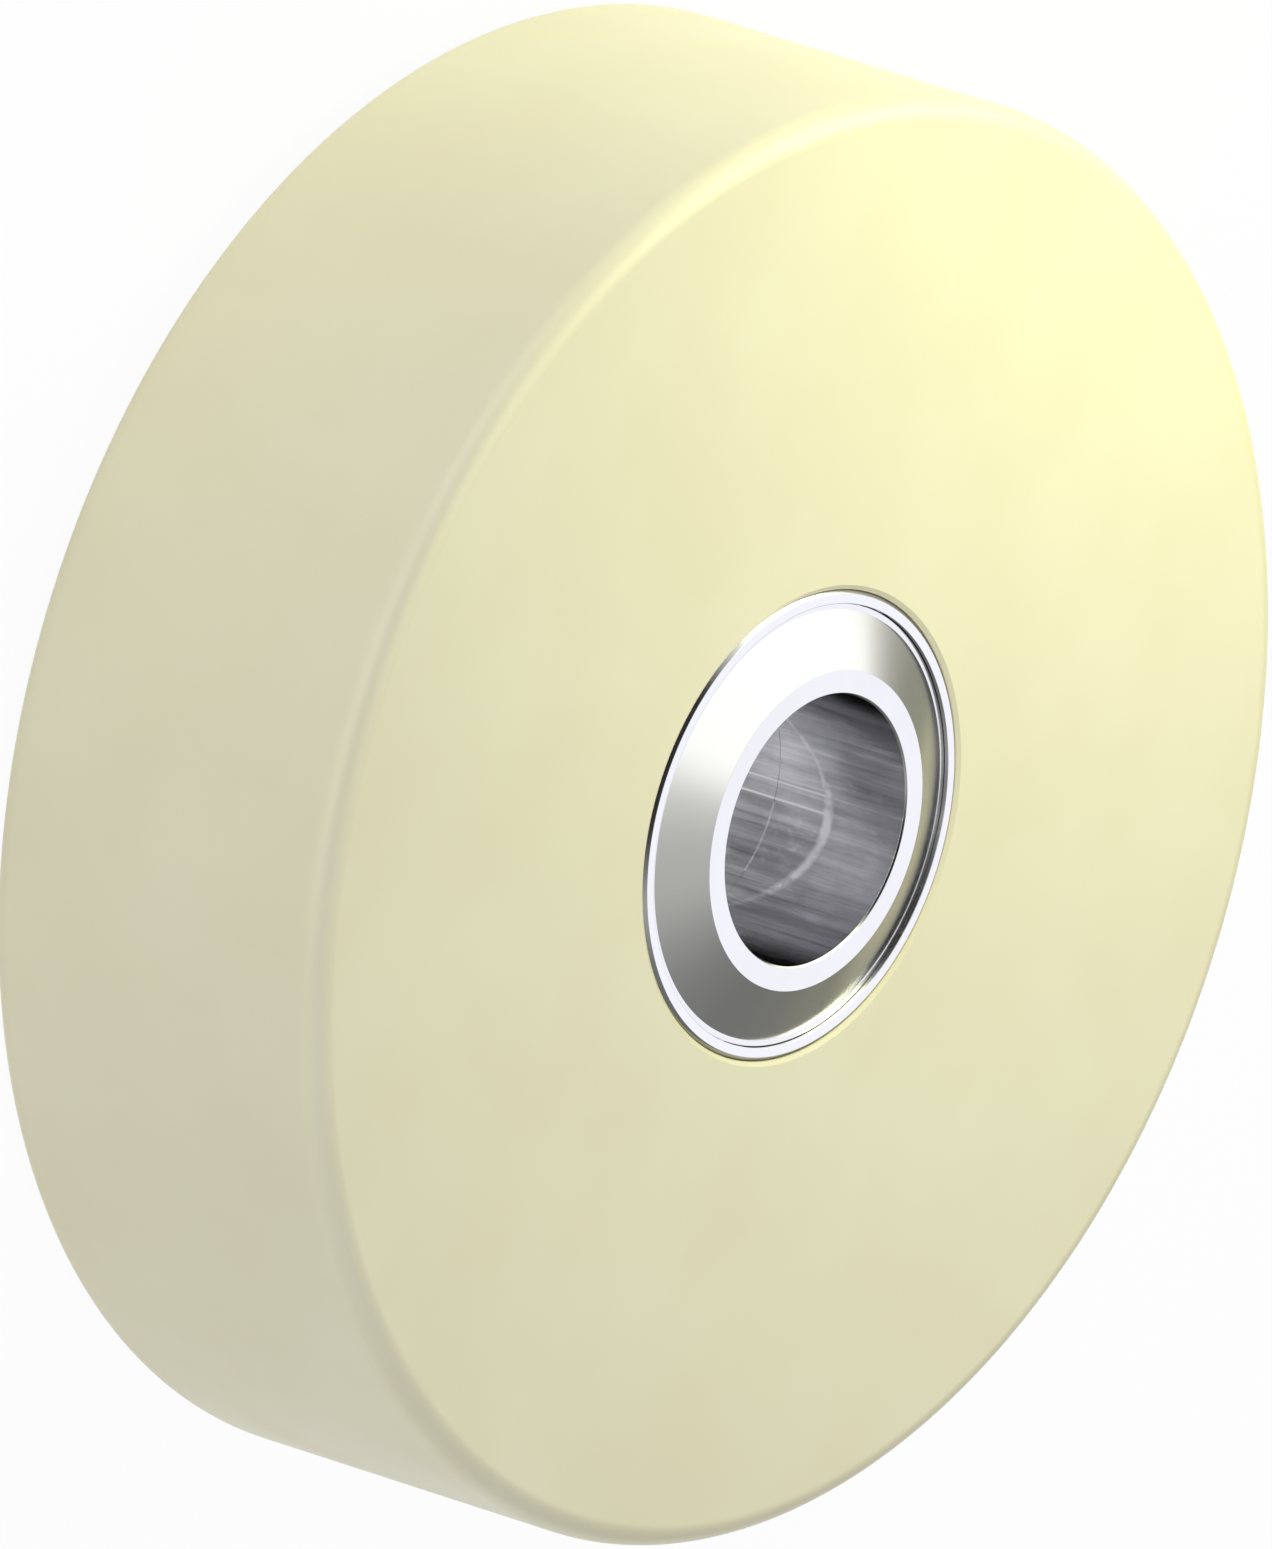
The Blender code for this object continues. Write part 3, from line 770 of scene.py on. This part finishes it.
class WHEEL_OT_flanged_bushes(bpy.types.Operator):
    """Turn both bushes, each with a conical flange, a flat end face and a spigot."""

    bl_idname = "wheel.flanged_bushes"
    bl_label = "Flanged bushes"

    def execute(self, context):
        wheel = context.scene.heavy_duty_wheel
        size = wheel.hub
        bore, chamfer, end = size.bore / MM, size.bore_chamfer / MM, size.end / MM
        points = [
            (bore, end - chamfer),
            (bore + chamfer, end),
            (size.face / MM, end),
            (size.cone / MM, size.foot / MM),
            (size.flange / MM, size.foot / MM),
            (size.flange / MM, size.lip / MM),
            (size.relief / MM, size.seat / MM),
            (size.spigot / MM, size.seat / MM),
            (size.spigot / MM, size.spigot_end / MM + SPIGOT_CHAMFER),
            (size.spigot / MM - SPIGOT_CHAMFER, size.spigot_end / MM),
            (bore, size.spigot_end / MM),
        ]
        plate = shared(bright_turned_steel, wheel.finishes)
        bore_steel = shared(honed_bore_steel, wheel.finishes)
        for name, direction in ENDS:
            outline = rounded(points, BUSH_EDGES) * (1.0, direction)
            mesh = turned_surface(f"flanged_bush_{name}", outline, HUB_COLUMNS)
            add_piece(mesh, "hub", [plate, bore_steel], [f"bush_{name}"])
            paint_inside(mesh, size.bore + BORE_MARGIN * MM, 1)
        return {"FINISHED"}


class WHEEL_OT_spacer_tube(bpy.types.Operator):
    """Turn the spacer between the inner rings, counterbored over the ends of the bushes."""

    bl_idname = "wheel.spacer_tube"
    bl_label = "Spacer tube"

    def execute(self, context):
        wheel = context.scene.heavy_duty_wheel
        size = wheel.hub
        upper = [
            (size.spacer / MM, size.spacer_end / MM),
            (size.counterbore / MM, size.spacer_end / MM),
            (size.counterbore / MM, size.spacer_inner / MM),
            (size.bore / MM, size.spacer_inner / MM),
        ]
        outline = rounded(both_halves(upper), SPACER_EDGES + SPACER_EDGES[::-1])
        mesh = turned_surface("spacer_sleeve", outline, HUB_COLUMNS)
        plate = shared(bright_turned_steel, wheel.finishes)
        bore_steel = shared(honed_bore_steel, wheel.finishes)
        add_piece(mesh, "hub", [plate, bore_steel], ["spacer_tube"])
        paint_inside(mesh, size.bore + BORE_MARGIN * MM, 1)
        return {"FINISHED"}


class WHEEL_OT_bearing_rings(bpy.types.Operator):
    """Turn both outer rings with their ball grooves and seal seats, and finish the inner rings."""

    bl_idname = "wheel.bearing_rings"
    bl_label = "Bearing rings"

    def execute(self, context):
        wheel = context.scene.heavy_duty_wheel
        size = wheel.bearing
        radius, half, chamfer = size.radius / MM, size.half_width / MM, size.chamfer / MM
        groove, shoulder = size.groove / MM, size.outer_shoulder / MM
        reach = math.degrees(math.acos((shoulder - size.pitch / MM) / groove))
        seat, seat_height = size.seal_seat / MM, size.seal_seat_height / MM
        upper = [
            (shoulder, seat_height - GROOVE_FLAT),
            (shoulder, seat_height),
            (seat, seat_height),
            (seat, half),
            (radius - chamfer, half),
            (radius, half - chamfer),
        ]
        face = rounded(both_halves(upper), RING_EDGES + RING_EDGES[::-1], closed=False)
        track = arc_points((size.pitch / MM, 0.0), groove, -reach, reach, TRACK_STEPS)
        steel = shared(ground_bearing_steel, wheel.finishes)
        lapped = shared(lapped_ball_steel, wheel.finishes)
        for name, direction in ENDS:
            outline = np.concatenate([face, track]) + (0.0, direction * size.centre)
            mesh = turned_surface(f"bearing_outer_ring_{name}", outline, HUB_COLUMNS)
            add_piece(mesh, "wheel", [steel, lapped], [f"outer_ring_{name}"])
            paint_inside(mesh, size.seal_seat + BORE_MARGIN * MM, 1)
            finish_node(f"inner_ring_{name}", steel)
        return {"FINISHED"}


class WHEEL_OT_bearing_seals(bpy.types.Operator):
    """Turn the seal that shows at each end, and finish the hidden ones."""

    bl_idname = "wheel.bearing_seals"
    bl_label = "Bearing seals"

    def execute(self, context):
        wheel = context.scene.heavy_duty_wheel
        size = wheel.bearing
        lip, bead, edge = size.seal_lip / MM, size.seal_bead / MM, size.seal_edge / MM
        top, bottom = size.seal_top / MM, size.seal_bottom / MM
        bead_top, bead_bottom = size.bead_top / MM, size.bead_bottom / MM
        points = [
            (lip, top),
            (bead - SEAL_FACE_IN, top),
            (bead + SEAL_FACE_OUT, bead_top),
            (edge, bead_top),
            (edge, bead_bottom),
            (bead, bead_bottom),
            (bead - SEAL_BACK_IN, bottom),
            (lip, bottom),
        ]
        rubber = shared(moulded_seal_rubber, wheel.finishes)
        for name, direction in ENDS:
            outline = rounded(points, SEAL_EDGES) * (1.0, direction) + (0.0, direction * size.centre)
            mesh = turned_surface(f"bearing_seal_{name}", outline, SEAL_COLUMNS)
            add_piece(mesh, "wheel", [rubber], [f"seal_outer_{name}"])
            finish_node(f"seal_inner_{name}", rubber)
        return {"FINISHED"}


class WHEEL_OT_balls_and_cages(bpy.types.Operator):
    """Make each ball a true sphere at its place, and finish the cages that hold the balls."""

    bl_idname = "wheel.balls_and_cages"
    bl_label = "Balls and cages"

    def execute(self, context):
        wheel = context.scene.heavy_duty_wheel
        steel = shared(lapped_ball_steel, wheel.finishes)
        for node in BALLS:
            low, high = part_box(node)
            centre = (low + high) / 2
            mesh = ball_surface(f"lapped_{node}", centre, wheel.bearing.ball, BALL_ROWS, BALL_COLUMNS)
            body = frame["nodes"][node]["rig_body"]
            add_piece(mesh, body, [steel], [node])
        for name, _ in ENDS:
            finish_node(f"cage_{name}", shared(moulded_cage_nylon, wheel.finishes))
        return {"FINISHED"}


class WHEEL_OT_stage(bpy.types.Operator):
    """Lay the pale floor, hang the lamps, light the room and set up the camera."""

    bl_idname = "wheel.stage"
    bl_label = "Stage"

    def execute(self, context):
        finishes = context.scene.heavy_duty_wheel.finishes
        lay_floor(finishes)
        hang_lamp("key_lamp", KEY_PLACE, KEY_SIDE, KEY_RADIANCE, finishes.key_light)
        hang_lamp("back_lamp", BACK_PLACE, BACK_SIDE, BACK_RADIANCE, finishes.back_light)
        light_room(finishes)
        set_camera()
        context.scene.view_settings.view_transform = "Standard"
        return {"FINISHED"}


def lay_floor(finishes):
    """Pale floor under the wheel.

    The camera sees it mostly as white, with enough paint to keep the wheel's shadow, and as plain
    paint under the wheel. Steel reflects it as white, and everything else is lit by plain paint.
    """
    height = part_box("bush_back")[0].z
    mesh = bpy.data.meshes.new("floor")
    signs = ((-1, -1), (1, -1), (1, 1), (-1, 1))
    mesh.from_pydata([(x * FLOOR_REACH, y * FLOOR_REACH, height) for x, y in signs], [], [(0, 1, 2, 3)])
    floor = bpy.data.objects.new("floor", mesh)
    bpy.context.scene.collection.objects.link(floor)
    material, tree = new_material("pale_painted_floor")
    place = add_node(tree, "ShaderNodeTexCoord").outputs["Object"]
    flat = add_node(tree, "ShaderNodeVectorMath", {0: place, 1: (1.0, 1.0, 0.0)}, operation="MULTIPLY")
    radius = add_node(tree, "ShaderNodeVectorMath", {0: flat.outputs[0]}, operation="LENGTH")
    outside = add_node(tree, "ShaderNodeMapRange", {
        "Value": radius.outputs["Value"], "From Min": PAINT_END, "From Max": WHITE_START,
        "To Min": 0.0, "To Max": WHITE_SHARE,
    })
    path = add_node(tree, "ShaderNodeLightPath")
    seen = add_node(tree, "ShaderNodeMath", {
        0: path.outputs["Is Camera Ray"], 1: path.outputs["Is Glossy Ray"],
    }, operation="MAXIMUM")
    clear = add_node(tree, "ShaderNodeMath", {
        0: seen.outputs[0], 1: path.outputs["Is Transmission Ray"],
    }, operation="MAXIMUM")
    open_floor = add_node(tree, "ShaderNodeMath", {
        0: path.outputs["Is Glossy Ray"], 1: outside.outputs["Result"],
    }, operation="MAXIMUM")
    share = add_node(tree, "ShaderNodeMath", {
        0: clear.outputs[0], 1: open_floor.outputs[0],
    }, operation="MULTIPLY")
    paint = add_node(tree, "ShaderNodeBsdfDiffuse", {"Color": rgba(finishes.floor)})
    white = add_node(tree, "ShaderNodeEmission", {"Color": (1.0, 1.0, 1.0, 1.0), "Strength": 1.0})
    mix = add_node(tree, "ShaderNodeMixShader", {
        0: share.outputs[0], 1: paint.outputs[0], 2: white.outputs[0],
    })
    add_node(tree, "ShaderNodeOutputMaterial", {"Surface": mix.outputs[0]})
    mesh.materials.append(material)


def hang_lamp(name, place, side, radiance, tint):
    """Square soft box that faces the hub. Its power is pi * its area * its radiance."""
    lamp = bpy.data.lights.new(name, "AREA")
    lamp.shape = "SQUARE"
    lamp.size = side
    lamp.energy = math.pi * side * side * radiance
    lamp.color = tint
    holder = bpy.data.objects.new(name, lamp)
    holder.location = place
    aim = Vector(LAMP_TARGET) - Vector(place)
    holder.rotation_euler = aim.to_track_quat("-Z", "Y").to_euler()
    holder.visible_camera = False
    bpy.context.scene.collection.objects.link(holder)


def light_room(finishes):
    """Room light by direction.

    Metal sees a room that is bright on one side and darkens away from it, with a dark patch where
    the photographer stands, a dimmer screen at the far end and a warmer tint near the horizon.
    Everything else is lit by a soft room whose level along the direction d is
    max(0, lean . d + (side . d) (fall . d) + level). The camera sees white.
    """
    world = bpy.data.worlds.new("studio_room")
    bpy.context.scene.world = world
    world.use_nodes = True
    tree = world.node_tree
    tree.nodes.clear()
    direction = add_node(tree, "ShaderNodeTexCoord").outputs["Generated"]
    rise = add_node(tree, "ShaderNodeVectorMath", {
        0: direction, 1: BRIGHT_DIRECTION,
    }, operation="DOT_PRODUCT")
    place = add_node(tree, "ShaderNodeMapRange", {
        "Value": rise.outputs["Value"], "From Min": -1.0, "From Max": 1.0,
    })
    ramp = add_node(tree, "ShaderNodeValToRGB", {"Fac": place.outputs["Result"]})
    elements = ramp.color_ramp.elements
    for element, (position, value) in ((elements[0], BRIGHTNESS[0]), (elements[1], BRIGHTNESS[-1])):
        element.position = position
        element.color = rgba([value] * 3)
    for position, value in BRIGHTNESS[1:-1]:
        elements.new(position).color = rgba([value] * 3)
    around = add_node(tree, "ShaderNodeMapping", {
        "Vector": direction, "Location": PATCH_SHIFT, "Rotation": (math.radians(PATCH_TILT), 0.0, 0.0),
        "Scale": PATCH_SIZE,
    }, vector_type="TEXTURE")
    away = add_node(tree, "ShaderNodeVectorMath", {0: around.outputs["Vector"]}, operation="LENGTH")
    dark = add_node(tree, "ShaderNodeMapRange", {
        "Value": away.outputs["Value"], "From Min": 0.42, "From Max": 1.0,
        "To Min": 0.02, "To Max": 1.0,
    }, interpolation_type="SMOOTHSTEP")
    far = add_node(tree, "ShaderNodeVectorMath", {
        0: direction, 1: SCREEN_DIRECTION,
    }, operation="DOT_PRODUCT")
    screen = add_node(tree, "ShaderNodeMapRange", {
        "Value": far.outputs["Value"], "From Min": 0.9, "From Max": 0.98, "To Min": 2.6, "To Max": 1.3,
    })
    strength = add_node(tree, "ShaderNodeMath", {
        0: dark.outputs["Result"], 1: screen.outputs["Result"],
    }, operation="MULTIPLY")
    neutral = add_node(tree, "ShaderNodeVectorMath", {
        0: ramp.outputs["Color"], "Scale": strength.outputs[0],
    }, operation="SCALE")
    height = add_node(tree, "ShaderNodeSeparateXYZ", {0: direction}).outputs["Z"]
    cool = add_node(tree, "ShaderNodeMapRange", {
        "Value": height, "From Min": 0.1, "From Max": 0.4, "To Min": 0.78, "To Max": 0.96,
    })
    warmth = add_node(tree, "ShaderNodeCombineXYZ", {"X": 1.0, "Y": 1.0, "Z": cool.outputs["Result"]})
    mirrored = add_node(tree, "ShaderNodeVectorMath", {
        0: neutral.outputs[0], 1: warmth.outputs[0],
    }, operation="MULTIPLY")
    lean = add_node(tree, "ShaderNodeVectorMath", {0: direction, 1: SOFT_LEAN}, operation="DOT_PRODUCT")
    side = add_node(tree, "ShaderNodeVectorMath", {0: direction, 1: SOFT_SIDE}, operation="DOT_PRODUCT")
    fall = add_node(tree, "ShaderNodeVectorMath", {0: direction, 1: SOFT_FALL}, operation="DOT_PRODUCT")
    bend = add_node(tree, "ShaderNodeMath", {
        0: side.outputs["Value"], 1: fall.outputs["Value"], 2: lean.outputs["Value"],
    }, operation="MULTIPLY_ADD")
    raised = add_node(tree, "ShaderNodeMath", {0: bend.outputs[0], 1: SOFT_LEVEL}, operation="ADD")
    level = add_node(tree, "ShaderNodeMath", {0: raised.outputs[0], 1: 0.0}, operation="MAXIMUM")
    soft = add_node(tree, "ShaderNodeVectorMath", {
        0: finishes.room, "Scale": level.outputs[0],
    }, operation="SCALE")
    path = add_node(tree, "ShaderNodeLightPath")
    lit = add_node(tree, "ShaderNodeMix", {
        "Factor": path.outputs["Is Glossy Ray"], 6: soft.outputs[0], 7: mirrored.outputs[0],
    }, data_type="RGBA")
    clear = add_node(tree, "ShaderNodeMath", {
        0: path.outputs["Is Camera Ray"], 1: path.outputs["Is Transmission Ray"],
    }, operation="MAXIMUM")
    seen = add_node(tree, "ShaderNodeMix", {
        "Factor": clear.outputs[0], 6: lit.outputs[2], 7: (1.0, 1.0, 1.0, 1.0),
    }, data_type="RGBA")
    background = add_node(tree, "ShaderNodeBackground", {"Color": seen.outputs[2], "Strength": 1.0})
    add_node(tree, "ShaderNodeOutputWorld", {"Surface": background.outputs[0]})


def set_camera():
    """Long lens at the photograph's angle, with the wheel's axis to the right and down a little."""
    elevation, roll = math.radians(ELEVATION), math.radians(ROLL)
    back = Vector((0.0, -math.cos(elevation), math.sin(elevation)))
    axis = Vector((0.0, math.sin(elevation), math.cos(elevation)))
    side = Vector((-1.0, 0.0, 0.0))
    right = math.cos(roll) * axis + math.sin(roll) * side
    up = -math.sin(roll) * axis + math.cos(roll) * side
    pixel = PIXEL * MM
    camera = bpy.data.cameras.new("camera")
    camera.lens = LENS
    camera.sensor_width = SENSOR
    distance = DISTANCE_TRIM * PICTURE_HEIGHT * pixel * LENS / SENSOR
    aim = AIM_RIGHT * pixel * right + AIM_UP * pixel * up
    holder = bpy.data.objects.new("camera", camera)
    turned = Matrix((right, up, back)).transposed().to_4x4()
    holder.matrix_world = Matrix.Translation(aim + distance * back) @ turned
    camera.clip_start, camera.clip_end = CLIP
    bpy.context.scene.collection.objects.link(holder)
    bpy.context.scene.camera = holder


OPERATORS = (
    WHEEL_OT_stage,
    WHEEL_OT_nylon_wheel,
    WHEEL_OT_flanged_bushes,
    WHEEL_OT_spacer_tube,
    WHEEL_OT_bearing_rings,
    WHEEL_OT_bearing_seals,
    WHEEL_OT_balls_and_cages,
)


class WHEEL_PT_sidebar(bpy.types.Panel):
    """Sidebar list of the wheel's pieces, sizes and finishes."""

    bl_idname = "WHEEL_PT_sidebar"
    bl_label = "Heavy duty wheel"
    bl_space_type = "VIEW_3D"
    bl_region_type = "UI"
    bl_category = "Wheel"

    def draw(self, context):
        wheel = context.scene.heavy_duty_wheel
        for operator in OPERATORS:
            self.layout.operator(operator.bl_idname)
        for group in (wheel.nylon, wheel.hub, wheel.bearing, wheel.finishes):
            box = self.layout.box()
            for name in type(group).__annotations__:
                box.prop(group, name)


CLASSES = (
    NylonWheelSizes, HubSizes, BearingSizes, WheelFinishes, HeavyDutyWheel, *OPERATORS, WHEEL_PT_sidebar,
)


def register():
    """Add the classes and the wheel's properties."""
    for item in CLASSES:
        bpy.utils.register_class(item)
    bpy.types.Scene.heavy_duty_wheel = PointerProperty(type=HeavyDutyWheel)


def unregister():
    """Remove the wheel's properties and the classes."""
    del bpy.types.Scene.heavy_duty_wheel
    for item in reversed(CLASSES):
        bpy.utils.unregister_class(item)


def main():
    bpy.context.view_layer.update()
    register()
    for operator in OPERATORS:
        group, name = operator.bl_idname.split(".")
        getattr(getattr(bpy.ops, group), name)()


if __name__ == "__main__":
    main()
